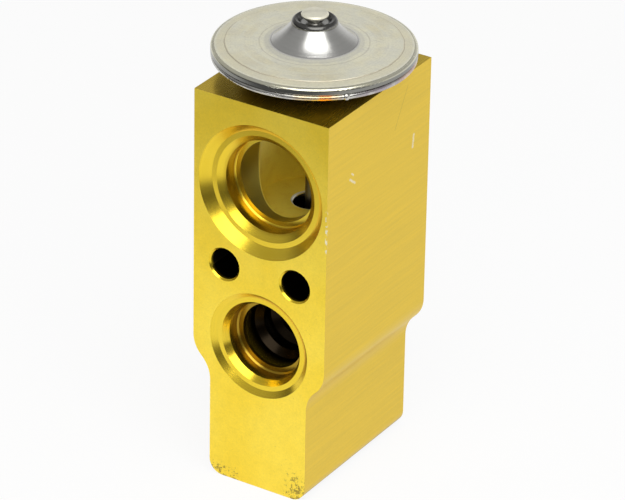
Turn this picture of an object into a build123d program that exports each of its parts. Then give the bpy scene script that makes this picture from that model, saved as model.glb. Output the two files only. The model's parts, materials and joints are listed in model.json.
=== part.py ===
"""Block-type refrigerant expansion valve, in millimetres, +Z up.

The origin is on the valve's axis, in the plane of the block's foot. The front face, with the
suction port above and the outlet port below, is towards -Y; the liquid inlet is at the back.
A sealed diaphragm head on top pushes a long rod down through the suction passage, and the rod
lifts a ball off its seat against a spring, whose load is set by a screw in the foot.
"""
import os
from dataclasses import dataclass
from math import acos, cos, hypot, pi, radians, sin

from build123d import *

# ---------------------------------------------------------------- block outline
block_width = 30.0           # across the upper, wide part
block_depth = 36.8           # along the ports
block_height = 82.7
foot_width = 22.1            # across the lower, narrow part
foot_corner = 3.0            # radius of the extruded foot corners
step_top = 29.8              # height where the wide flanks start to draw in
step_convex = 6.0            # radius of the S-shaped step's upper arc
step_concave = 6.6           # radius of its lower arc

edge_break = 0.4             # bevel on the leading edges of threads, bosses and cups
fine_break = 0.3             # bevel on the small turned edges
drill_point = 0.6            # length of a drill's point, over its radius
overcut = 1.0                # how far a cutter runs past the face that it opens

# ---------------------------------------------------------------- ports


@dataclass
class Port:
    """A pipe port: an outer bevel, a flat land, a lead-in cone, a sealing bore and a throat."""
    height: float            # axis above the foot
    mouth: float             # bevel radius where it meets the face
    land: float              # radius where the bevel meets the land
    land_depth: float
    lead: float              # radius where the lead-in cone leaves the land
    bore: float              # sealing bore, for the pipe's O-ring
    bore_start: float        # depths below the face
    bore_end: float
    throat: float            # radius of the drilling behind the shoulder


suction_drop = 18.0          # the suction ports' axis, below the top of the block
inlet_drop = 10.15           # the inlet's axis, below the outlet's

suction = Port(
    height=block_height - suction_drop,
    mouth=13.95,
    land=12.1,
    land_depth=1.8,
    lead=11.05,
    bore=9.65,
    bore_start=2.95,
    bore_end=6.0,
    throat=8.4,
)
outlet = Port(
    height=31.55,
    mouth=11.15,
    land=9.95,
    land_depth=0.85,
    lead=8.95,
    bore=8.1,
    bore_start=2.2,
    bore_end=5.1,
    throat=6.8,
)
inlet = Port(
    height=outlet.height - inlet_drop,
    mouth=9.9,
    land=8.8,
    land_depth=0.85,
    lead=7.8,
    bore=7.05,
    bore_start=2.1,
    bore_end=5.1,
    throat=5.8,
)

outlet_step = 5.5            # second drilling radius of the outlet
outlet_step_depth = 10.5     # depth where it reaches that radius
outlet_step_length = 2.5
outlet_drill = 4.0           # last drilling, across the valve's axis
outlet_past_axis = 3.5       # how far that drilling runs past the axis
inlet_drill = 3.4            # last drilling, into the ball chamber
inlet_throat_length = 2.9

bolt_hole = 3.2              # radius, for M6 bolts
bolt_spacing = 16.0
bolt_drop = 1.125            # the bolts' axes, below the middle between the front ports
bolt_height = (suction.height + outlet.height) / 2 - bolt_drop
bolt_break = 0.35            # countersink at both mouths

# ---------------------------------------------------------------- diaphragm head
rim = 19.75                  # radius of the cap's flange
cap_thickness = 1.0
flange_rise = 4.65           # underside of the cap's flange, above the block
flange_thickness = 1.4
flange_round = 0.55
flange_bevel = 0.25
plate_rise = 6.5             # top of the flat plate, above the block
plate_edge = rim - 2.65      # the step round the flat plate
plate_step = 0.12
apron = 10.5                 # where the fillet at the cone's foot runs out
foot_hollow = 0.12           # how far that fillet sags below its chord
cone_foot = 8.2
cone_foot_rise = 0.45        # above the plate
cone_hollow = 0.23           # how far the cone's flank sags below its chord
cone_top = 4.4
cone_top_rise = 4.1
shoulder_bulge = 0.2         # how far the shoulder over the cone stands off its chord
lip = 3.8                    # crest of the rolled lip round the charging hole
lip_rise = 5.0
lip_inner = 3.3
lip_floor = 2.8              # radius of the flat floor inside the lip
lip_depth = 0.8
lip_bevel = 0.15
charge_hole = 1.25
plug_head = 2.65
plug_rise = 1.15             # the plug's edge, above the lip
plug_crown = 0.1
plug_head_thickness = 0.65
plug_length = 3.75
diaphragm_thickness = 0.15
weld_bead = 0.6              # bead round the joint of the flanges
weld_lump = 0.8              # where the bead overlaps its own start
weld_lump_angle = -39.5
clamped = rim - 0.65         # radius of the lower flange and of the diaphragm
dish_edge = rim - 2.75       # where both dishes meet the clamped flange
base_thickness = 1.1
neck = 11.0                  # outer radius of the head's threaded neck
neck_bore = neck - 1.9
neck_length = 6.7
neck_fit = 0.05              # clearance of its thread
head_seal_width = 1.6
seal_pocket = neck + head_seal_width
dish_wall_shift = 0.6        # foot of the dish's slope, outside against inside
pad = dish_edge - 6.2        # diaphragm pad radius
pad_thickness = 1.6
pad_boss = 3.2
pad_boss_length = 3.4
diaphragm_roll = 1.2         # flat ring left between the diaphragm's slope and the clamp
rod_socket = 1.0             # how deep the rod stands in the plate of the pad
slip = 0.02                  # clearance of a sliding fit
head_seal_section = 0.74

# ---------------------------------------------------------------- bores on the valve's axis
head_recess_depth = 7.4      # threaded recess for the head's neck
seal_pocket_depth = 1.5      # counterbore for the head's O-ring
sensing_bore = 10.1          # from the recess down to a flat floor in the suction passage
sensing_drop = 0.9           # that floor, below the passage's
rod = 1.3                    # push rod radius
rod_clearance = 0.06
rod_recess = rod + 2.3       # pocket of the rod's O-ring
rod_recess_depth = 6.9
rod_recess_break = 0.35
orifice = rod + 0.85
seat_drop = 6.05             # the edge that the ball closes on, below the outlet's axis
seat_cone = 0.6              # size of the 45 degree cone below the edge

# ---------------------------------------------------------------- rod seal
retainer_thickness = 0.5
retainer_gap = 0.1           # above the O-ring
retainer_bore_gap = 0.25     # round the rod
retainer_slots = 6
retainer_slot_width = 0.6
retainer_slot_length = 1.2

# ---------------------------------------------------------------- ball, carrier and spring
ball = 2.78
valve_stroke = 0.78
seat_gap = 0.02              # left between ball and seat at the end of the stroke
cup = ball + 0.52            # carrier cup radius
cup_height = 2.0
cup_lip = 0.2                # least width of the cup's rim
ball_middle = 0.55           # the ball's centre, above the cup's rim
collar = cup + 1.6
collar_thickness = 1.0
chamber = collar + 1.3       # ball chamber radius
spigot = cup - 0.6
spigot_length = 2.5
damper_sheet = 0.3
damper_arm_height = 2.2
damper_arms = 4
damper_arm_width = 2.6
spring_wire = 0.55
spring_radius = spigot + 0.9
spring_turns = 5.5
ground_depth = 0.3           # how far each end's middle line is ground past, in wire radii

# ---------------------------------------------------------------- setting screw
screw_thread = chamber + 0.8  # threaded hole of the setting screw
screw_thread_runout = 0.5     # plain bore below the O-ring's groove
mouth_break = 0.5
screw_face = 0.9             # the screw's face is this far inside the foot
screw_thread_length = 4.4
screw_clearance = 0.08
screw_height = 9.7
screw_boss = spigot + 0.2
screw_boss_height = 1.2
hex_across = 8.0
hex_depth = 4.4
groove_top = 1.1             # land between the O-ring's groove and the screw's inner end
groove_width = 1.6
groove_floor = chamber - 1.2

# ---------------------------------------------------------------- heights that follow
face = block_depth / 2
flange_height = block_height + flange_rise
flange_top = flange_height + flange_thickness
cap_plate = block_height + plate_rise
cone_foot_height = cap_plate + cone_foot_rise
cone_top_height = cap_plate + cone_top_rise
lip_height = cap_plate + lip_rise
lip_floor_height = lip_height - lip_depth
plug_top = lip_height + plug_rise
diaphragm_rim = flange_height - diaphragm_thickness
base_floor = block_height + base_thickness          # the head's dish stands on the block's top
dish_floor_edge = dish_edge - (diaphragm_rim - base_floor)
pad_bottom = base_floor + slip
pad_top = pad_bottom + pad_thickness
rod_top = pad_bottom + rod_socket
head_recess_floor = block_height - head_recess_depth
seal_pocket_floor = block_height - seal_pocket_depth
sensing_floor = suction.height - suction.throat - sensing_drop
rod_recess_floor = sensing_floor - rod_recess_depth
seat_height = outlet.height - seat_drop
seated_ball = seat_height - (ball**2 - orifice**2) ** 0.5
ball_height = seated_ball - valve_stroke - seat_gap
rod_bottom = ball_height + ball
cup_rim = ball_height - ball_middle
collar_top = cup_rim - cup_height
spring_top = collar_top - collar_thickness
screw_top = screw_face + screw_height
groove_start = screw_top - groove_top - groove_width
screw_thread_depth = groove_start - screw_thread_runout


def turned(*section):
    """A solid turned about Z from half its section, given as (radius, height) points."""
    return revolve(Plane.XZ * make_face(Polyline(*section, close=True)), Axis.Z)


def ring(outer, inner, bottom, top):
    return turned((inner, bottom), (outer, bottom), (outer, top), (inner, top))


def bowed(start, end, bow):
    """An arc between two points; its middle stands off their chord, to the right of travel."""
    run = end[0] - start[0]
    rise = end[1] - start[1]
    share = bow / hypot(run, rise)
    middle = ((start[0] + end[0]) / 2 + share * rise, (start[1] + end[1]) / 2 - share * run)
    return ThreePointArc(start, middle, end)


def sagitta(radius, turn):
    """How far an arc's middle stands off its chord."""
    return radius * (1 - cos(turn / 2))


def o_ring(middle, section, height):
    return Pos(0, 0, height) * Torus(middle, section)


def from_front(cutter):
    """Stands a cutter that is drawn along +Z, from 0, in the front face."""
    return Pos(0, -face, 0) * Rot(-90, 0, 0) * cutter


def from_back(cutter):
    return Pos(0, face, 0) * Rot(90, 0, 0) * cutter


def port_cutter(port, *throat):
    """What the port tool removes; throat holds the (radius, depth) points behind the shoulder."""
    return turned(
        (0, -overcut),
        (port.mouth, -overcut),
        (port.mouth, 0),
        (port.land, port.land_depth),
        (port.lead, port.land_depth),
        (port.bore, port.bore_start),
        (port.bore, port.bore_end - fine_break),
        (port.bore - fine_break, port.bore_end),
        (port.throat, port.bore_end),
        *throat,
    )


def block_outline():
    """The extruded section: wide above, drawn in by two tangent arcs, round at the foot."""
    wide = block_width / 2
    narrow = foot_width / 2
    turn = acos(1 - (wide - narrow) / (step_convex + step_concave))
    step_bottom = step_top - (step_convex + step_concave) * sin(turn)
    crest = (wide, step_top)
    meet = (wide - step_convex * (1 - cos(turn)), step_top - step_convex * sin(turn))
    hollow = (narrow, step_bottom)
    corner_start = (narrow, foot_corner)
    corner_end = (narrow - foot_corner, 0)
    flank = [
        Line((0, block_height), (wide, block_height)),
        Line((wide, block_height), crest),
        bowed(crest, meet, -sagitta(step_convex, turn)),
        bowed(meet, hollow, sagitta(step_concave, turn)),
        Line(hollow, corner_start),
        bowed(corner_start, corner_end, -sagitta(foot_corner, pi / 2)),
        Line(corner_end, (0, 0)),
    ]
    half = make_face(Wire(flank + [Line((0, 0), (0, block_height))]))
    return half + mirror(half, about=Plane.YZ)


def bolt_cutter():
    end = face + overcut
    countersink = bolt_hole + bolt_break + overcut
    return turned(
        (0, -end),
        (countersink, -end),
        (bolt_hole, -face + bolt_break),
        (bolt_hole, face - bolt_break),
        (countersink, end),
        (0, end),
    )


def head_bore_cutter():
    thread = neck + neck_fit
    top = block_height + overcut
    return turned(
        (0, sensing_floor),
        (sensing_bore, sensing_floor),
        (sensing_bore, head_recess_floor),
        (thread, head_recess_floor),
        (thread, seal_pocket_floor),
        (seal_pocket, seal_pocket_floor),
        (seal_pocket, top),
        (0, top),
    )


def rod_bore_cutter():
    guide = rod + rod_clearance
    return turned(
        (0, outlet.height),
        (guide, outlet.height),
        (guide, rod_recess_floor),
        (rod_recess, rod_recess_floor),
        (rod_recess, sensing_floor - rod_recess_break),
        (rod_recess + rod_recess_break, sensing_floor),
        (rod_recess + rod_recess_break, sensing_floor + rod_recess_break),
        (0, sensing_floor + rod_recess_break),
    )


def chamber_cutter():
    roof = seat_height - seat_cone
    return turned(
        (0, -overcut),
        (screw_thread + mouth_break, -overcut),
        (screw_thread + mouth_break, 0),
        (screw_thread, mouth_break),
        (screw_thread, screw_thread_depth),
        (chamber, screw_thread_depth),
        (chamber, roof),
        (orifice + seat_cone, roof),
        (orifice, seat_height),
        (orifice, outlet.height),
        (0, outlet.height),
    )


def outlet_cutter():
    """The outlet port, stepped down in two drillings that cross the valve's axis."""
    step_end = outlet_step_depth + outlet_step_length
    drill_end = face + outlet_past_axis
    return port_cutter(
        outlet,
        (outlet.throat, outlet_step_depth - (outlet.throat - outlet_step)),
        (outlet_step, outlet_step_depth),
        (outlet_step, step_end),
        (outlet_drill, step_end + (outlet_step - outlet_drill) * drill_point),
        (outlet_drill, drill_end - outlet_drill * drill_point),
        (0, drill_end),
    )


def inlet_cutter():
    throat_end = inlet.bore_end + inlet_throat_length
    return port_cutter(
        inlet,
        (inlet.throat, throat_end),
        (inlet_drill, throat_end + (inlet.throat - inlet_drill) * drill_point),
        (inlet_drill, face),
        (0, face),
    )


def valve_block():
    """The extruded body, with every port and bore cut."""
    body = extrude(Plane.XZ * block_outline(), face, both=True)
    past_middle = face + overcut
    suction_cut = port_cutter(suction, (suction.throat, past_middle), (0, past_middle))
    body -= Pos(0, 0, suction.height) * from_front(suction_cut)
    body -= Pos(0, 0, suction.height) * from_back(suction_cut)
    body -= Pos(0, 0, outlet.height) * from_front(outlet_cutter())
    body -= Pos(0, 0, inlet.height) * from_back(inlet_cutter())
    for side in (-1, 1):
        body -= Pos(side * bolt_spacing / 2, 0, bolt_height) * Rot(-90, 0, 0) * bolt_cutter()
    body -= head_bore_cutter()
    body -= rod_bore_cutter()
    body -= chamber_cutter()
    return body


def head_base():
    """The lower dish of the head, with the neck that screws into the block."""
    neck_end = block_height - neck_length
    flange_bottom = diaphragm_rim - base_thickness
    slope = flange_bottom - block_height
    foot = dish_floor_edge - dish_wall_shift
    return turned(
        (neck_bore, neck_end),
        (neck - edge_break, neck_end),
        (neck, neck_end + edge_break),
        (neck, block_height),
        (foot, block_height),
        (foot + slope, flange_bottom),
        (clamped, flange_bottom),
        (clamped, diaphragm_rim),
        (dish_edge, diaphragm_rim),
        (dish_floor_edge, base_floor),
        (neck_bore, base_floor),
    )


def cap_outside():
    """The cap's upper line, from the flange's underside over the cone to the charging hole."""
    round_start = (rim, flange_top - flange_round)
    round_end = (rim - flange_round, flange_top)
    plate_start = (plate_edge - plate_step, cap_plate)
    fillet_start = (apron, cap_plate)
    cone_start = (cone_foot, cone_foot_height)
    cone_end = (cone_top, cone_top_height)
    crest = (lip, lip_height)
    return [
        Line((rim - flange_bevel, flange_height), (rim, flange_height + flange_bevel)),
        Line((rim, flange_height + flange_bevel), round_start),
        bowed(round_start, round_end, sagitta(flange_round, pi / 2)),
        Line(round_end, (plate_edge, cap_plate - plate_step)),
        Line((plate_edge, cap_plate - plate_step), plate_start),
        Line(plate_start, fillet_start),
        bowed(fillet_start, cone_start, -foot_hollow),
        bowed(cone_start, cone_end, -cone_hollow),
        bowed(cone_end, crest, shoulder_bulge),
        Line(crest, (lip_inner, lip_height - lip_bevel)),
        Line((lip_inner, lip_height - lip_bevel), (lip_floor, lip_floor_height)),
        Line((lip_floor, lip_floor_height), (charge_hole, lip_floor_height - lip_bevel)),
    ]


def head_cap():
    """The upper dish: flat plate, central cone and the rolled lip round the charging hole."""
    outside = cap_outside()
    run = cone_foot - cone_top
    rise = cone_top_height - cone_foot_height
    plate_under = cap_plate - cap_thickness
    roof = cone_top_height - cap_thickness
    roof_edge = cone_top - cone_hollow - cap_thickness * (hypot(run, rise) - run) / rise
    corners = [
        (charge_hole, lip_floor_height - lip_bevel),
        (charge_hole, roof),
        (roof_edge, roof),
        (roof_edge + (roof - plate_under) * run / rise, plate_under),
        (dish_edge - (plate_under - flange_height), plate_under),
        (dish_edge, flange_height),
        (rim - flange_bevel, flange_height),
    ]
    inside = [Line(start, end) for start, end in zip(corners, corners[1:])]
    return revolve(Plane.XZ * make_face(Wire(outside + inside)), Axis.Z)


def charge_plug():
    """The tapered pin that is welded into the charging hole once the head is filled."""
    tip = plug_top - plug_length
    stem = charge_hole - slip
    return turned(
        (0, tip),
        (stem - fine_break, tip),
        (stem, tip + edge_break),
        (stem, lip_floor_height),
        (plug_head, plug_top - plug_head_thickness),
        (plug_head, plug_top - fine_break),
        (plug_head - fine_break, plug_top),
        (0, plug_top + plug_crown),
    )


def rim_weld():
    """The bead round the clamped flanges, with the lump where it overlaps its start."""
    middle = diaphragm_rim - (base_thickness - diaphragm_thickness) / 2
    section = min(weld_bead, flange_height - middle)
    bead = o_ring(clamped, section, middle)
    angle = radians(weld_lump_angle)
    lump = Pos(clamped * cos(angle), clamped * sin(angle), middle) * Sphere(weld_lump)
    flanges = Pos(0, 0, middle) * Cylinder(clamped, 4 * weld_lump)
    cap_flange = Pos(0, 0, flange_height) * Cylinder(
        2 * rim, 4 * weld_lump, align=(Align.CENTER, Align.CENTER, Align.MIN)
    )
    return bead + lump - flanges - cap_flange


def diaphragm():
    """The thin sheet clamped between the flanges; its middle lies on the pad."""
    sheet = diaphragm_thickness
    bend = pad - edge_break
    slope_end = dish_edge - diaphragm_roll
    return turned(
        (0, pad_top),
        (bend, pad_top),
        (slope_end, diaphragm_rim),
        (clamped, diaphragm_rim),
        (clamped, diaphragm_rim + sheet),
        (slope_end, diaphragm_rim + sheet),
        (bend, pad_top + sheet),
        (0, pad_top + sheet),
    )


def diaphragm_pad():
    """The disc under the diaphragm, with the boss that holds the push rod."""
    boss_end = pad_bottom - pad_boss_length
    return turned(
        (0, rod_top),
        (rod, rod_top),
        (rod, boss_end),
        (pad_boss - edge_break, boss_end),
        (pad_boss, boss_end + edge_break),
        (pad_boss, pad_bottom),
        (pad - edge_break, pad_bottom),
        (pad, pad_bottom + edge_break),
        (pad, pad_top - edge_break),
        (pad - edge_break, pad_top),
        (0, pad_top),
    )


def head_seal():
    middle = (neck + seal_pocket) / 2
    return o_ring(middle, head_seal_section, seal_pocket_floor + head_seal_section)


def push_rod():
    return turned(
        (0, rod_bottom),
        (rod - fine_break, rod_bottom),
        (rod, rod_bottom + fine_break),
        (rod, rod_top),
        (0, rod_top),
    )


def rod_seal():
    section = (rod_recess - rod - slip) / 2
    return o_ring(rod + slip + section, section, rod_recess_floor + section)


def seal_retainer():
    """A push-in washer with slit inner tongues, over the rod's O-ring."""
    inner = rod + retainer_bore_gap
    bottom = rod_recess_floor + rod_recess - rod - slip + retainer_gap
    washer = ring(rod_recess, inner, bottom, bottom + retainer_thickness)
    slot = Pos(inner, 0, bottom + retainer_thickness / 2) * Box(
        2 * retainer_slot_length, retainer_slot_width, 2 * retainer_thickness
    )
    for place in PolarLocations(0, retainer_slots):
        washer -= place * slot
    return washer


def valve_ball():
    return Pos(0, 0, ball_height) * Sphere(ball)


def ball_carrier():
    """The cup that holds the ball up, with a collar and a spigot for the spring."""
    cradle = min((ball**2 - ball_middle**2) ** 0.5, cup - cup_lip)
    spigot_end = spring_top - spigot_length
    carrier = turned(
        (0, spigot_end),
        (spigot - fine_break, spigot_end),
        (spigot, spigot_end + fine_break),
        (spigot, spring_top),
        (collar, spring_top),
        (collar, collar_top),
        (cup, collar_top),
        (cup, cup_rim),
        (cradle, cup_rim),
        (0, cup_rim),
    )
    return carrier - valve_ball()


def carrier_damper():
    """A sheet ring on the carrier's collar, whose arms rub on the chamber wall."""
    reach = chamber - screw_clearance
    sheet_top = collar_top + damper_sheet
    washer = ring(collar, cup, collar_top, sheet_top)
    wall = ring(reach, reach - damper_sheet, collar_top, collar_top + damper_arm_height)
    plate = ring(reach, cup, collar_top, sheet_top)
    strip = Pos(0, 0, collar_top) * Box(
        2 * reach,
        damper_arm_width,
        2 * damper_arm_height,
        align=(Align.MIN, Align.CENTER, Align.CENTER),
    )
    arm = (wall + plate) & strip
    for place in PolarLocations(0, damper_arms, start_angle=45):
        washer += place * arm
    return washer


def superheat_spring():
    """A compression spring with both ends ground flat."""
    length = spring_top - screw_top
    sunk = ground_depth * spring_wire
    pitch = (length + 2 * sunk) / spring_turns
    path = Pos(0, 0, screw_top - sunk) * Helix(pitch, pitch * spring_turns, spring_radius)
    section = Plane(path @ 0, x_dir=(1, 0, 0), z_dir=path % 0) * Circle(spring_wire)
    coil = sweep(section, path=path, is_frenet=True)
    ground = Pos(0, 0, screw_top) * Cylinder(
        2 * spring_radius, length, align=(Align.CENTER, Align.CENTER, Align.MIN)
    )
    return coil & ground


def adjusting_screw():
    """The threaded plug in the foot, with a hexagon socket and the groove of its O-ring."""
    crest = screw_thread - screw_clearance
    plug = chamber - screw_clearance
    body = turned(
        (0, screw_face),
        (crest - edge_break, screw_face),
        (crest, screw_face + edge_break),
        (crest, screw_face + screw_thread_length),
        (plug, screw_face + screw_thread_length),
        (plug, groove_start),
        (groove_floor, groove_start),
        (groove_floor, groove_start + groove_width),
        (plug, groove_start + groove_width),
        (plug, screw_top),
        (screw_boss, screw_top),
        (screw_boss - fine_break, screw_top + screw_boss_height),
        (0, screw_top + screw_boss_height),
    )
    socket = extrude(RegularPolygon(hex_across / 2, 6, major_radius=False), hex_depth)
    return body - Pos(0, 0, screw_face) * socket


def screw_seal():
    section = (chamber - groove_floor) / 2 - slip
    middle = (chamber + groove_floor) / 2
    return o_ring(middle, section, groove_start + groove_width / 2)


PARTS = {
    "valve_block": valve_block,
    "head_base": head_base,
    "head_cap": head_cap,
    "charge_plug": charge_plug,
    "rim_weld": rim_weld,
    "diaphragm": diaphragm,
    "diaphragm_pad": diaphragm_pad,
    "head_seal": head_seal,
    "push_rod": push_rod,
    "rod_seal": rod_seal,
    "seal_retainer": seal_retainer,
    "valve_ball": valve_ball,
    "ball_carrier": ball_carrier,
    "carrier_damper": carrier_damper,
    "superheat_spring": superheat_spring,
    "adjusting_screw": adjusting_screw,
    "screw_seal": screw_seal,
}

if __name__ == "__main__":
    os.makedirs("parts", exist_ok=True)
    for node, make in PARTS.items():
        export_step(make(), f"parts/{node}.step")
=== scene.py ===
"""Looks of a block-type refrigerant expansion valve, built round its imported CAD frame.

Patterns and sizes are written in millimetres of the object, and MM turns them into metres.
"""
import json
from functools import reduce
from math import cos, pi, radians, sin, tau

import bmesh
import bpy
from mathutils import Matrix, Vector

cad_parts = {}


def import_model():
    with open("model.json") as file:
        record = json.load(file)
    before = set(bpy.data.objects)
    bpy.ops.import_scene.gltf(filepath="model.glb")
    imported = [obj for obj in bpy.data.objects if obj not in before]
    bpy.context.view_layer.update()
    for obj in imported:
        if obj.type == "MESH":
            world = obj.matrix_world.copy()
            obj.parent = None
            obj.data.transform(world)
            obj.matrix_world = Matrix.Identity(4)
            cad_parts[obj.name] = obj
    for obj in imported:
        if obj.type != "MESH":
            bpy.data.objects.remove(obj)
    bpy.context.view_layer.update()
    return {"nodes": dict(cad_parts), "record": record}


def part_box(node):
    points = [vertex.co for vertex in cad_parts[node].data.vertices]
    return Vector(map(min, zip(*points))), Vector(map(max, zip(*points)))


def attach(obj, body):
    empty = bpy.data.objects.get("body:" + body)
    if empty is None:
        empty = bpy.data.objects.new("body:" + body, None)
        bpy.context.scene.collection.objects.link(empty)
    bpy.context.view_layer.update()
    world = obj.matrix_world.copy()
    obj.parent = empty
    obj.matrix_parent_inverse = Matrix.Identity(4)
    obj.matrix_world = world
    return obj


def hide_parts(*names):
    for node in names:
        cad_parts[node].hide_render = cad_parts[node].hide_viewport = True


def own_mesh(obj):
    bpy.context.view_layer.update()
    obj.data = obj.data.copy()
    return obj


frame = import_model()

MM = 0.001
STROKE_CORE = 0.3                    # share of a drawn stroke's width that is solid
block_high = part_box("valve_block")[1] / MM
axis_height = {
    mount["name"]: mount["pos_m"][2] / MM for mount in frame["record"]["mounts"]
}
suction_height = axis_height["suction_port_front"]
outlet_height = axis_height["outlet_port"]
inlet_height = axis_height["inlet_port"]
bolt_height = axis_height["bolt_holes"]

# ---------------------------------------------------------------- shader arithmetic


class Signal:
    """An output of a material's node. Arithmetic on signals adds the Math nodes for it."""

    def __init__(self, finish, socket):
        self.finish = finish
        self.socket = socket

    def math(self, operation, *terms):
        return self.finish.node("ShaderNodeMath", {"operation": operation}, dict(enumerate(terms)))

    def __add__(self, other):
        return self.math("ADD", self, other)

    def __sub__(self, other):
        return self.math("SUBTRACT", self, other)

    def __rsub__(self, other):
        return self.math("SUBTRACT", other, self)

    def __mul__(self, other):
        return self.math("MULTIPLY", self, other)

    def __truediv__(self, other):
        return self.math("DIVIDE", self, other)

    def __pow__(self, other):
        return self.math("POWER", self, other)

    def __abs__(self):
        return self.math("ABSOLUTE", self)

    __radd__ = __add__
    __rmul__ = __mul__

    def root(self):
        return self.math("SQRT", self)

    def most(self, other):
        return self.math("MAXIMUM", self, other)

    def least(self, other):
        return self.math("MINIMUM", self, other)

    def over(self, limit):
        return self.math("GREATER_THAN", self, limit)

    def under(self, limit):
        return self.math("LESS_THAN", self, limit)

    def rise(self, start, end):
        """0 up to start, 1 from end on, and a smooth slope between; end may be below start."""
        low, high = min(start, end), max(start, end)
        outputs = (0.0, 1.0) if start < end else (1.0, 0.0)
        return self.finish.node(
            "ShaderNodeMapRange",
            {"interpolation_type": "SMOOTHSTEP"},
            {
                "Value": self,
                "From Min": low,
                "From Max": high,
                "To Min": outputs[0],
                "To Max": outputs[1],
            },
        )

    def band(self, start, end, soft):
        """1 between start and end, falling to 0 over a soft edge on both sides."""
        return self.rise(start - soft, start) * self.rise(end + soft, end)


def far(across, up):
    """Distance from the origin of a plane, from its two coordinates."""
    return (across**2 + up**2).root()


class NodeTree:
    """Nodes of a material or a world, each added by one call."""

    def __init__(self, owner, closing):
        owner.use_nodes = True
        self.nodes = owner.node_tree.nodes
        self.links = owner.node_tree.links
        self.closing = closing
        self.nodes.clear()

    def node(self, kind, settings=None, inputs=None, output=0):
        """Adds a node; settings go first, then each input gets its value or its link."""
        made = self.nodes.new(kind)
        for name, value in (settings or {}).items():
            setattr(made, name, value)
        for name, value in (inputs or {}).items():
            if isinstance(value, Signal):
                self.links.new(value.socket, made.inputs[name])
            else:
                made.inputs[name].default_value = value
        return Signal(self, made.outputs[output])

    def close(self, shader):
        """Links the last shader to the tree's output node."""
        out = self.nodes.new(self.closing)
        self.links.new(shader.socket, out.inputs["Surface"])

    def parts(self, vector):
        source = self.node("ShaderNodeSeparateXYZ", inputs={0: vector})
        outputs = source.socket.node.outputs
        return [Signal(self, outputs[axis]) for axis in range(3)]


class Finish(NodeTree):
    """A material while its nodes are laid: the place on the piece in millimetres, and patterns."""

    def __init__(self, name):
        self.material = bpy.data.materials.new(name)
        super().__init__(self.material, "ShaderNodeOutputMaterial")
        metres = self.node("ShaderNodeTexCoord", output="Object")
        self.place = self.scaled(metres, (1 / MM, 1 / MM, 1 / MM))
        self.x, self.y, self.z = self.parts(self.place)
        self.normal = self.node("ShaderNodeTexCoord", output="Normal")

    def vector(self, x, y, z):
        return self.node("ShaderNodeCombineXYZ", inputs={0: x, 1: y, 2: z})

    def scaled(self, vector, factors):
        return self.node("ShaderNodeVectorMath", {"operation": "MULTIPLY"}, {0: vector, 1: factors})

    def noise(self, scale, detail=2.0, roughness=0.5, place=None):
        """Cloudy values round 0.5; scale is in features per millimetre."""
        inputs = {
            "Vector": place or self.place,
            "Scale": scale,
            "Detail": detail,
            "Roughness": roughness,
        }
        return self.node("ShaderNodeTexNoise", inputs=inputs)

    def angle(self, across, along):
        return self.node("ShaderNodeMath", {"operation": "ARCTAN2"}, {0: across, 1: along})

    def stroke(self, across, up, start, end, width):
        """1 on a line from start to end in the plane of two coordinates, with soft edges."""
        run, rise = end[0] - start[0], end[1] - start[1]
        share = ((across - start[0]) * run + (up - start[1]) * rise) / (run**2 + rise**2)
        share = share.most(0.0).least(1.0)
        aside = across - start[0] - share * run
        above = up - start[1] - share * rise
        return far(aside, above).rise(width, width * STROKE_CORE)

    def strokes(self, across, up, lines):
        """1 on any of several strokes, each a start, an end and a width."""
        drawn = [self.stroke(across, up, *line) for line in lines]
        return reduce(Signal.most, drawn)

    def mix(self, amount, first, second):
        settings = {"data_type": "RGBA", "clamp_factor": True}
        inputs = {0: amount, 6: self.colour(first), 7: self.colour(second)}
        return self.node("ShaderNodeMix", settings, inputs, output=2)

    def shade(self, colour, amount):
        """A colour made darker or lighter by a value."""
        grey = self.vector(amount, amount, amount)
        settings = {"data_type": "RGBA", "blend_type": "MULTIPLY", "clamp_result": False}
        inputs = {0: 1.0, 6: self.colour(colour), 7: grey}
        return self.node("ShaderNodeMix", settings, inputs, output=2)

    def colour(self, value):
        return value if isinstance(value, Signal) else (*value, 1.0)

    def bump(self, height, depth):
        """A normal from a height of 0 to 1 that stands for depth millimetres."""
        inputs = {"Height": height, "Distance": depth * MM, "Strength": 1.0}
        return self.node("ShaderNodeBump", inputs=inputs)

    def surface(self, base, roughness, normal=None, metallic=0.0):
        """Ends the material in one principled shader."""
        inputs = {"Base Color": self.colour(base), "Metallic": metallic, "Roughness": roughness}
        if normal:
            inputs["Normal"] = normal
        self.close(self.node("ShaderNodeBsdfPrincipled", inputs=inputs))
        return self.material


# ---------------------------------------------------------------- finishes

GOLD = (0.87, 0.63, 0.035)
STRAW = (0.90, 0.68, 0.060)
AMBER = (0.80, 0.56, 0.045)
SKIN_GOLD = (0.79, 0.55, 0.036)
BROWN = (0.42, 0.26, 0.022)
DARK_BROWN = (0.22, 0.12, 0.018)
PASSAGE_GOLD = (0.97, 0.80, 0.11)
PASSAGE_OLIVE = (0.50, 0.40, 0.06)
POCKET_GLINT = (0.90, 0.88, 0.78)       # painted highlight round the rod pocket's rim
RUBBED = (0.86, 0.82, 0.66)
SCRATCHED = (0.20, 0.13, 0.02)
BRIGHT_STREAK = (0.95, 0.85, 0.45)
# near black: painted shade deep in the hollows
HOLLOW_SHADE = (0.012, 0.008, 0.004)

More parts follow.
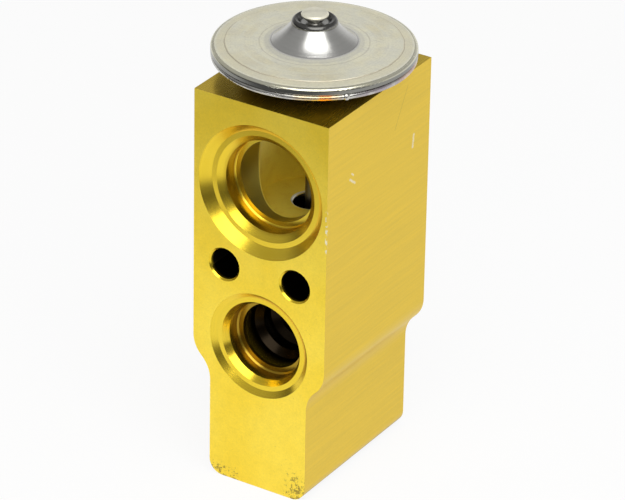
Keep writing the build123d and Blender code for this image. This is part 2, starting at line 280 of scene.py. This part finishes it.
FACE_EDGE = 0.02                     # how near to a face a point counts as on it
FLANK_START = 0.73                   # of the block's half width
FLANK_TURN = 0.3                     # how far a flank may face the ports
FOOT_CORNER = 3.05
BOLT_SPACING = 16.0
BOLT_WALL = 3.7                      # a little over each bore's radius
SENSING_BORE = 10.3
LOW_PORT_THROAT = 7.2
AXIS_BORE = 8.7
ROD_POCKET = 4.1
POCKET_RIM = (3.55, 4.0)
CHAMBER_FLOOR = 9.4                  # under the suction port's axis
CHAMBER_ROOF = 7.0                   # under the block's top
PASSAGE_MOUTH = (5.9, 6.2)           # depths behind the port faces
SEALING_WALL = (2.3, 3.3, 5.8, 6.0)
SCUFFS = [                           # start, end and width, across (y) and up (z) the flank
    ((12.3, 66.0), (12.6, 68.5), 0.45),
    ((-8.7, 67.2), (-10.5, 68.6), 0.35),
    ((-9.2, 69.0), (-9.9, 69.6), 0.25),
]
SCRATCHES = [((9.9, 80.2), (5.5, 72.4), 0.11)]
TOP_STREAKS = [((11.6, -8.3), (14.6, -7.4), 0.12), ((10.6, -9.8), (14.2, -9.2), 0.10)]
NICKED_EDGE = (56.5, 65.0)           # heights where the front right edge is nicked
NICK_REACH = 0.35


def hollow_mask(f):
    """1 deep in the bolt holes, the lower ports, the valve's chamber and the rod's pocket, where
    painted shade is laid.
    """
    inside = block_high.y - abs(f.y)
    bolt = far(abs(f.x) - BOLT_SPACING / 2, f.z - bolt_height)
    front = f.y.under(0.0)
    low_axis = front * outlet_height + (1 - front) * inlet_height
    low = far(f.x, f.z - low_axis)
    axis = far(f.x, f.y)
    sunk = f.z.rise(suction_height - 9.3, suction_height - 10.4)
    holes = [
        bolt.under(BOLT_WALL) * inside.rise(0.3, 1.2),
        low.under(LOW_PORT_THROAT) * inside.rise(5.4, 8.5),
        axis.under(AXIS_BORE) * f.z.rise(1.0, 7.0) * f.z.under(outlet_height + 8.0),
        axis.under(ROD_POCKET) * f.z.under(suction_height - 9.0) * sunk,
    ]
    return reduce(Signal.most, holes)


def gold_chromate():
    """Yellow chromate over sawn faces, an extruded skin and turned ports."""
    f = Finish("gold_chromate")

    # faces of the block
    along = abs(f.parts(f.normal)[1])
    top = f.z.over(block_high.z - FACE_EDGE)
    drawn = abs(f.x).over(block_high.x * FLANK_START).most(f.z.under(FOOT_CORNER))
    flank = drawn * along.under(FLANK_TURN) * (1 - top)
    skin = flank.most(top)
    sawn = abs(f.y).over(block_high.y - FACE_EDGE)
    turned = (1 - skin) * (1 - sawn)
    inside = block_high.y - abs(f.y)
    axis = far(f.x, f.y)
    upper = f.z.over((suction_height + outlet_height) / 2)
    hall = f.z.band(suction_height - CHAMBER_FLOOR, block_high.z - CHAMBER_ROOF, 0.2)
    passage = inside.rise(*PASSAGE_MOUTH) * hall * turned
    chamber = passage * axis.under(SENSING_BORE)
    wall_start, wall_full, wall_fades, wall_end = SEALING_WALL
    sealing_shade = inside.rise(wall_start, wall_full) * inside.rise(wall_end, wall_fades) * turned
    pocket_floor = f.z.band(suction_height - 9.8, suction_height - 9.25, 0.1)
    pocket_glint = axis.band(*POCKET_RIM, 0.05) * pocket_floor

    # patterns, with painted shade in the sealing bores, on the upper sawn faces and the foot's
    # corner, and a painted highlight round the rod pocket's rim
    clouds = f.noise(0.06, detail=3.0)
    dapple = f.noise(0.5, detail=4.0, roughness=0.65)
    grain = f.noise(2.4, detail=4.0, roughness=0.75)
    lines = f.noise(1.0, detail=4.0, roughness=0.7, place=f.scaled(f.place, (2.0, 0.05, 2.0)))
    streaks = f.noise(1.0, detail=2.0, place=f.scaled(f.place, (0.5, 0.03, 0.5)))
    up_radius = far(f.x, f.z - suction_height)
    low_radius = far(f.x, f.z - outlet_height)
    radius = up_radius * upper + low_radius * (1 - upper)
    cut = f.noise(5.0, detail=3.0, roughness=0.7, place=f.vector(radius, abs(f.y), 0.0))

    base = f.mix(clouds.rise(0.35, 0.65), GOLD, STRAW)
    base = f.mix(skin, base, SKIN_GOLD)
    base = f.mix(turned * 0.45, base, AMBER)
    # painted shade: the sealing bores' walls darkened to brown, darkest in the lower ports
    base = f.mix(sealing_shade * 0.75, base, f.mix(upper, DARK_BROWN, BROWN))
    base = f.mix(passage, base, f.mix(chamber, PASSAGE_OLIVE, PASSAGE_GOLD))
    base = f.mix(chamber * dapple.rise(0.45, 0.7) * 0.35, base, AMBER)
    # painted highlight: a pale ring round the rod pocket's rim
    base = f.mix(pocket_glint * 0.9, base, POCKET_GLINT)

    tone = 1.0 + ((grain - 0.5) * 0.34 + (dapple - 0.5) * 0.16) * sawn
    tone = tone + ((lines - 0.5) * 0.26 + (streaks - 0.5) * 0.06 + (grain - 0.5) * 0.16) * skin
    tone = tone + (cut - 0.5) * 0.22 * turned
    # painted shade: the sawn faces a tenth darker towards the top
    tone = tone * (1 - f.z.rise(40.0, 76.0) * sawn * 0.10)
    # painted shade: the flanks darker along the foot's rounded corner
    tone = tone * (1 - f.z.rise(2.1, 0.9) * flank * 0.75)
    base = f.shade(base, tone)

    # wear, pale streaks on the top, and painted shade deep in the hollows
    right = f.x.over(0.0) * skin
    scuffs = f.strokes(f.y, f.z, SCUFFS) * right * grain.rise(0.35, 0.55)
    scratch = f.strokes(f.y, f.z, SCRATCHES) * right * 0.35
    top_streak = f.strokes(f.x, f.y, TOP_STREAKS)
    corner = f.x.over(block_high.x - NICK_REACH) * f.y.under(-block_high.y + NICK_REACH)
    chips = f.noise(1.6, detail=3.0).rise(0.53, 0.6)
    nicks = corner * f.z.band(*NICKED_EDGE, 0.5) * chips
    low_right = f.x.rise(4.0, 8.5) * f.z.rise(10.5, 2.0)
    low_left = f.x.rise(-1.5, -6.0) * f.z.rise(4.5, 0.5)
    flecks = f.noise(1.5, detail=4.0, roughness=0.8)
    specks = (flecks + low_right.most(low_left) * 0.19).rise(0.68, 0.74) * sawn
    base = f.mix(scuffs.most(nicks) * 0.85, base, RUBBED)
    base = f.mix(scratch.most(specks * 0.8), base, SCRATCHED)
    # pale streaks drawn on the block's top, under the head
    base = f.mix(top_streak * top * 0.5, base, BRIGHT_STREAK)
    # painted shade: near black deep in the bolt holes, lower ports, chamber and rod pocket
    base = f.mix(hollow_mask(f), base, HOLLOW_SHADE)

    metallic = 0.95 - sawn * 0.4 - flank * 0.3 - chamber * 0.45
    roughness = 0.22 + sawn * 0.22 + flank * 0.18 + top * 0.04
    roughness = roughness + chamber * 0.3 + (passage - chamber) * 0.12
    roughness = roughness + (grain - 0.5) * 0.12 * sawn + (lines - 0.5) * 0.14 * skin
    relief = grain * sawn + lines * skin * 0.8 + cut * turned * 0.5 - scratch - specks
    return f.surface(base, roughness, f.bump(relief, 0.012), metallic)


PLATE_RISE = 6.5                     # the head's flat plate, above the block
PLATE_DEPTH = 0.42                   # how far under the plate its finish reaches
PLATE_SCATTER = 0.62                 # share of the plate's light that it scatters
CONE_FOOT = 8.6                      # radii of the plate's edges and of the lip
PLATE_END = 19.3
LIP_WALL = 19.2
PLATE_GREY = (0.75, 0.735, 0.61)
PLATE_WARM = (0.83, 0.80, 0.61)
HEAT_STRAW = (0.66, 0.57, 0.32)
HEAT_RINGS = [                       # inner and outer radius, soft edge, strength, patches
    (17.1, 18.4, 0.4, 0.25, None),
    (14.6, 16.6, 0.8, 0.3, (0.42, 0.6)),
    (12.2, 13.4, 0.6, 0.3, (0.4, 0.6)),
]
CONE_GREY = (0.56, 0.555, 0.53)
FOOT_RING_SHADE = (0.48, 0.47, 0.43)
SCRIBED = (0.33, 0.27, 0.19)
SHOULDER_DARK_REFLECTION = (0.07, 0.068, 0.062)
LIP_SHADE = (0.12, 0.125, 0.14)


def head_steel():
    """Pressed stainless steel: satin plate, turned cone, smooth rolled lip."""
    f = Finish("head_steel")
    radius = far(f.x, f.y)
    rise = f.z - block_high.z
    above = rise.over(PLATE_RISE - PLATE_DEPTH)
    cone = radius.rise(8.9, 8.3) * above
    plate = radius.band(CONE_FOOT, PLATE_END, 0.4) * above
    mottle = f.noise(0.30, detail=5.0, roughness=0.65)
    blotches = f.noise(0.10, detail=3.0)
    fine = f.noise(3.0, detail=4.0, roughness=0.75)
    wander = radius + (mottle - 0.5) * 0.5
    round_axis = f.vector(radius, f.z, f.angle(f.y, f.x) * 0.15)
    rings = f.noise(2.6, detail=4.0, roughness=0.7, place=round_axis)
    base = f.mix(mottle.rise(0.3, 0.75), PLATE_GREY, PLATE_WARM)
    for inner, outer, soft, strength, patchy in HEAT_RINGS:
        tint = wander.band(inner, outer, soft) * strength
        base = f.mix(tint * blotches.rise(*patchy) if patchy else tint, base, HEAT_STRAW)
    # painted shade: a grey ring round the cone's foot
    base = f.mix(wander.band(8.4, 9.4, 0.5) * 0.4, base, FOOT_RING_SHADE)
    base = f.mix(cone, base, CONE_GREY)
    scribed = wander.band(17.02, 17.16, 0.06).most(wander.band(10.45, 10.6, 0.1) * 0.5)
    base = f.mix(scribed * above * 0.5, base, SCRIBED)
    base = f.shade(base, 1.0 + (fine - 0.5) * 0.5 * plate + (rings - 0.5) * 0.22)
    scratch = f.noise(1.0, detail=1.0, place=f.scaled(f.place, (0.35, 4.0, 0.35)))
    base = f.shade(base, 1.0 - scratch.rise(0.66, 0.74) * 0.14 * plate)
    # painted reflection: the cone's rounded shoulder near black, for the dark room it mirrors
    shoulder = (radius + (fine - 0.5) * 0.35).band(2.7, 4.3, 0.25) * rise.over(PLATE_RISE + 3.8)
    base = f.mix(shoulder * 0.9, base, SHOULDER_DARK_REFLECTION)
    wall = radius.over(LIP_WALL) * rise.rise(5.8, 5.5)
    base = f.mix(wall * 0.8, base, LIP_SHADE)
    roughness = 0.24 + plate * 0.17 + (mottle - 0.5) * 0.08 + (rings - 0.5) * 0.12
    relief = fine * plate * 0.8 + rings * (0.4 + cone * 0.8)
    return f.surface(base, roughness, f.bump(relief, 0.012), 1.0 - plate * PLATE_SCATTER)


def shaded_steel():
    """The lower dish, dull and painted near black: painted shade under the head."""
    f = Finish("shaded_steel")
    clouds = f.noise(0.4, detail=4.0)
    base = f.mix(clouds.rise(0.3, 0.7), (0.09, 0.088, 0.085), (0.16, 0.15, 0.135))
    return f.surface(base, 0.42 + clouds * 0.1, metallic=1.0)


PLUG_END = 5.75                      # the filling pin's end, above the plate
PLUG_CREASE = ((-1.9, -0.9), (1.2, 1.6), 0.9)


def plug_steel():
    """The filling pin's flattened, matt end."""
    f = Finish("plug_steel")
    top = f.z.over(block_high.z + PLATE_RISE + PLUG_END)
    grain = f.noise(1.4, detail=4.0, roughness=0.7)
    crease = f.stroke(f.x, f.y, *PLUG_CREASE)
    base = f.mix(top, (0.50, 0.49, 0.46), (0.84, 0.81, 0.66))
    # painted shade: the crease on the pin's end drawn darker
    base = f.shade(base, 0.80 + grain * 0.34 - crease * top * 0.12)
    normal = f.bump(grain * 0.6 - crease, 0.06)
    return f.surface(base, 0.3 + top * 0.15, normal, 1.0 - top * 0.6)


WELD_STEEL = (0.58, 0.57, 0.53)
WELD_GREY = (0.30, 0.29, 0.30)
HEAT_TINTS = [                       # start and end angle, soft edge, strength, colour
    (-1.15, -0.80, 0.10, 0.50, (0.70, 0.50, 0.22)),
    (-0.94, -0.86, 0.04, 0.75, (0.80, 0.30, 0.08)),
    (-0.45, 0.25, 0.20, None, (0.40, 0.28, 0.38)),
    (0.0, 0.35, 0.10, 0.35, (0.75, 0.42, 0.24)),
]


def weld_bead():
    """A fused bead with ripples, blued and browned where it overlaps its start."""
    f = Finish("weld_bead")
    angle = f.angle(f.y, f.x)
    ripple = f.noise(1.0, detail=2.0, place=f.vector(angle * 26.0, f.z * 0.6, 0.0))
    patches = f.noise(0.5, detail=3.0)
    base = f.mix(patches.rise(0.4, 0.6) * 0.5, WELD_STEEL, WELD_GREY)
    patchy = patches.rise(0.3, 0.6) * 0.35
    for start, end, soft, strength, colour in HEAT_TINTS:
        base = f.mix(angle.band(start, end, soft) * (strength or patchy), base, colour)
    return f.surface(base, 0.2 + ripple * 0.12, f.bump(ripple, 0.04), 1.0)


def turned_metal(name, colour, roughness):
    """Bright turned metal with fine rings round the valve's axis."""
    f = Finish(name)
    rings = f.noise(4.0, detail=3.0, place=f.vector(far(f.x, f.y), f.z, 0.0))
    clouds = f.noise(0.4, detail=3.0)
    base = f.shade(colour, 0.9 + rings * 0.12 + clouds * 0.1)
    return f.surface(base, roughness + rings * 0.1, f.bump(rings, 0.006), 1.0)


def black_rubber():
    """Matt nitrile rubber."""
    f = Finish("black_rubber")
    grain = f.noise(6.0, detail=3.0)
    base = f.shade((0.02, 0.02, 0.022), 0.8 + grain * 0.4)
    return f.surface(base, 0.5 + grain * 0.2, f.bump(grain, 0.01))


FINISHES = {
    "gold_chromate": gold_chromate(),
    "head_steel": head_steel(),
    "weld_bead": weld_bead(),
    "shaded_steel": shaded_steel(),
    "plug_steel": plug_steel(),
    # the pin is near black, darker than bare steel
    "pin_steel": turned_metal("pin_steel", (0.16, 0.155, 0.15), 0.28),
    "ball_steel": turned_metal("ball_steel", (0.60, 0.60, 0.60), 0.08),
    "spring_steel": turned_metal("spring_steel", (0.50, 0.49, 0.47), 0.28),
    "brass": turned_metal("brass", (0.78, 0.60, 0.28), 0.25),
    "black_rubber": black_rubber(),
}

slot_of = {part["node"]: part["material_slot"] for part in frame["record"]["subparts"]}
slot_of |= {"head_base": "shaded_steel", "charge_plug": "plug_steel"}
for name, node in frame["nodes"].items():
    for slot in node.material_slots:
        slot.material = FINISHES[slot_of[name]]

# ---------------------------------------------------------------- pieces that flex

WELDED = 1e-6                        # metres within which points are one
CUT_THROUGH = 1e-7                   # metres within which a point lies on the grinding plane
SMOOTH_UNDER = radians(35)
SPRING_WIRE = 0.55                   # radius
SPRING_TURNS = 5.5
SPRING_STEPS = 48                    # to each turn
SPRING_SIDES = 20
SPRING_GROUND = 0.3                  # ground off past the middle line, in wire radii
DIAPHRAGM_SHEET = 0.15               # thickness
DIAPHRAGM_BEND = 0.4                 # inside the pad's edge
DIAPHRAGM_SLOPE = 5.0                # past the pad's edge
DIAPHRAGM_STEPS = 180


def flexing_piece(name, bm, node):
    """Stands a mesh for a CAD node, with the node's finish, under the housing, and hides the node.
    """
    bmesh.ops.recalc_face_normals(bm, faces=bm.faces[:])
    mesh = bpy.data.meshes.new(name)
    bm.to_mesh(mesh)
    bm.free()
    mesh.shade_smooth()
    mesh.set_sharp_from_angle(angle=SMOOTH_UNDER)
    piece = bpy.data.objects.new(name, mesh)
    bpy.context.scene.collection.objects.link(piece)
    mesh.materials.append(FINISHES[slot_of[node]])
    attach(piece, "housing")
    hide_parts(node)
    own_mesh(piece)


def fill_ends(bm):
    """Closes every open rim with a face."""
    rims = [edge for edge in bm.edges if edge.is_boundary]
    bmesh.ops.holes_fill(bm, edges=rims, sides=0)


def coil_spring():
    """Round wire spun up a helix, both ends ground flat."""
    low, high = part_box("superheat_spring")
    wire = SPRING_WIRE * MM
    sunk = SPRING_GROUND * wire
    steps = round(SPRING_TURNS * SPRING_STEPS)
    rise = (high.z - low.z + 2 * sunk) / steps
    start = Matrix.Translation((high.x - wire, 0, low.z - sunk))
    start = start @ Matrix.Rotation(pi / 2, 4, "X")
    bm = bmesh.new()
    bmesh.ops.create_circle(bm, cap_ends=False, segments=SPRING_SIDES, radius=wire, matrix=start)
    bmesh.ops.spin(
        bm, geom=bm.verts[:] + bm.edges[:], cent=(0, 0, 0), axis=(0, 0, 1), dvec=(0, 0, rise),
        angle=tau * SPRING_TURNS, steps=steps, use_merge=False, use_duplicate=False,
    )
    fill_ends(bm)
    for height, facing in ((low.z, -1), (high.z, 1)):
        bmesh.ops.bisect_plane(
            bm, geom=bm.verts[:] + bm.edges[:] + bm.faces[:], dist=CUT_THROUGH,
            plane_co=(0, 0, height), plane_no=(0, 0, facing), clear_outer=True,
        )
        fill_ends(bm)
    bmesh.ops.triangulate(bm, faces=[face for face in bm.faces if len(face.verts) > 4])
    return bm


def thin_diaphragm():
    """A sheet spun round the axis: flat on its pad, sloping up to the clamped flange."""
    low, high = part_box("diaphragm")
    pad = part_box("diaphragm_pad")[1].x
    sheet = DIAPHRAGM_SHEET * MM
    bend, slope_end = pad - DIAPHRAGM_BEND * MM, pad + DIAPHRAGM_SLOPE * MM
    under = [(0, low.z), (bend, low.z), (slope_end, high.z - sheet), (high.x, high.z - sheet)]
    over = [(radius, height + sheet) for radius, height in reversed(under)]
    bm = bmesh.new()
    points = [bm.verts.new((radius, 0, height)) for radius, height in under + over]
    edges = [bm.edges.new(pair) for pair in zip(points, points[1:])]
    bmesh.ops.spin(
        bm, geom=points + edges, cent=(0, 0, 0), axis=(0, 0, 1), dvec=(0, 0, 0),
        angle=tau, steps=DIAPHRAGM_STEPS, use_merge=True, use_duplicate=False,
    )
    bmesh.ops.remove_doubles(bm, verts=bm.verts[:], dist=WELDED)
    return bm


flexing_piece("coil_spring", coil_spring(), "superheat_spring")
flexing_piece("thin_diaphragm", thin_diaphragm(), "diaphragm")

# ---------------------------------------------------------------- floor, lights and camera

WHITE = (1.0, 1.0, 1.0, 1.0)
PAPER = (0.9, 0.9, 0.9, 1.0)
FLOOR_SIZE = 6.0                     # metres
FLOOR_GAP = 0.05                     # keeps the sheet clear of the foot's face
FLOOR_WHITE = 0.9                    # share that is plain white; the rest takes the shadow
SHEET_WHITE = 95.0                   # how far in front of the valve the sheet mirrors white
SHEET_END = 180.0                    # and where it is as dark as the room
FRONT_HORIZON = 0.06
BACK_HORIZON = 0.85
CEILING = 0.4

CAMERA_AZIMUTH = radians(31.968)     # 0 in front of the ports
CAMERA_ELEVATION = radians(28.231)
CAMERA_ROLL = radians(1.063)
CAMERA_TARGET = (0.421, 0.0, 44.537)
CAMERA_DISTANCE = 858.144
CAMERA_SENSOR = 36.0
CAMERA_LENS = 254.7
CAMERA_CLIP = 0.05                   # metres


def toward(azimuth, elevation):
    """The direction at two angles, azimuth 0 in front of the ports."""
    level = Vector((sin(azimuth), -cos(azimuth), 0.0))
    return level * cos(elevation) + Vector((0.0, 0.0, sin(elevation)))


def place(name, data, turn, position):
    """Puts a lamp or the camera in the scene."""
    holder = bpy.data.objects.new(name, data)
    holder.matrix_world = Matrix.Translation(position) @ turn.to_4x4()
    bpy.context.scene.collection.objects.link(holder)
    return holder


def floor():
    """A pale floor: plain white where it is looked at, with the valve's shadow; in reflections a
    painted pool of light, white except far in front of the valve, where it fades to the room's
    dark.
    """
    f = Finish("studio_floor")
    paper = f.node("ShaderNodeBsdfDiffuse", inputs={"Color": PAPER})
    glossy, through, direct = (
        f.node("ShaderNodeLightPath", output=f"Is {kind} Ray")
        for kind in ("Glossy", "Transmission", "Camera")
    )
    mirrored = glossy.most(through)
    sheet = f.y.rise(-SHEET_END, -SHEET_WHITE)
    strength = 1 - mirrored * (1 - sheet) * (1 - FRONT_HORIZON)
    white = f.node("ShaderNodeEmission", inputs={"Color": WHITE, "Strength": strength})
    seen = direct.most(mirrored)
    f.close(f.node("ShaderNodeMixShader", inputs={0: seen * FLOOR_WHITE, 1: paper, 2: white}))
    bpy.ops.mesh.primitive_plane_add(size=FLOOR_SIZE, location=(0, 0, -FLOOR_GAP * MM))
    plane = bpy.context.object
    plane.name = "studio_floor"
    plane.data.materials.append(f.material)


def lamp(name, azimuth, elevation, distance, size, power, aim=45.0, spread=180.0):
    """A square soft lamp that looks at a height on the valve's axis."""
    light = bpy.data.lights.new(name, "AREA")
    light.size = size
    light.energy = power
    light.spread = radians(spread)
    away = toward(radians(azimuth), radians(elevation))
    turn = away.to_track_quat("Z", "Y").to_matrix()
    place(name, light, turn, Vector((0, 0, aim)) * MM + away * distance)


def world():
    """A dim room: dark behind the camera, a pale sweep behind the valve, an even ceiling."""
    room = bpy.data.worlds.new("studio_room")
    f = NodeTree(room, "ShaderNodeOutputWorld")
    _, back, up = f.parts(f.node("ShaderNodeTexCoord", output="Generated"))
    horizon = FRONT_HORIZON + back.rise(-0.1, 0.5) * (BACK_HORIZON - FRONT_HORIZON)
    glow = horizon + up.rise(0.0, 0.5) * (CEILING - horizon)
    strength = glow.most(f.node("ShaderNodeLightPath", output="Is Camera Ray"))
    f.close(f.node("ShaderNodeBackground", inputs={"Color": WHITE, "Strength": strength}))
    bpy.context.scene.world = room


def camera():
    """A long lens; its place is given by its direction, roll and distance from the valve."""
    back = toward(CAMERA_AZIMUTH, CAMERA_ELEVATION)
    level = Vector((cos(CAMERA_AZIMUTH), sin(CAMERA_AZIMUTH), 0.0))
    upright = back.cross(level)
    right = level * cos(CAMERA_ROLL) + upright * sin(CAMERA_ROLL)
    up = upright * cos(CAMERA_ROLL) - level * sin(CAMERA_ROLL)
    lens = bpy.data.cameras.new("camera")
    lens.sensor_width = CAMERA_SENSOR
    lens.lens = CAMERA_LENS
    lens.clip_start = CAMERA_CLIP
    turn = Matrix((right, up, back)).transposed()
    position = (Vector(CAMERA_TARGET) + back * CAMERA_DISTANCE) * MM
    bpy.context.scene.camera = place("camera", lens, turn, position)


floor()
lamp("key_softbox", 42.0, 52.0, 0.6, 0.62, 3.3)
lamp("low_front_fill", -10.0, 3.0, 0.40, 0.10, 0.008, aim=14.0, spread=14.0)
world()
camera()
bpy.context.scene.view_settings.view_transform = "Standard"
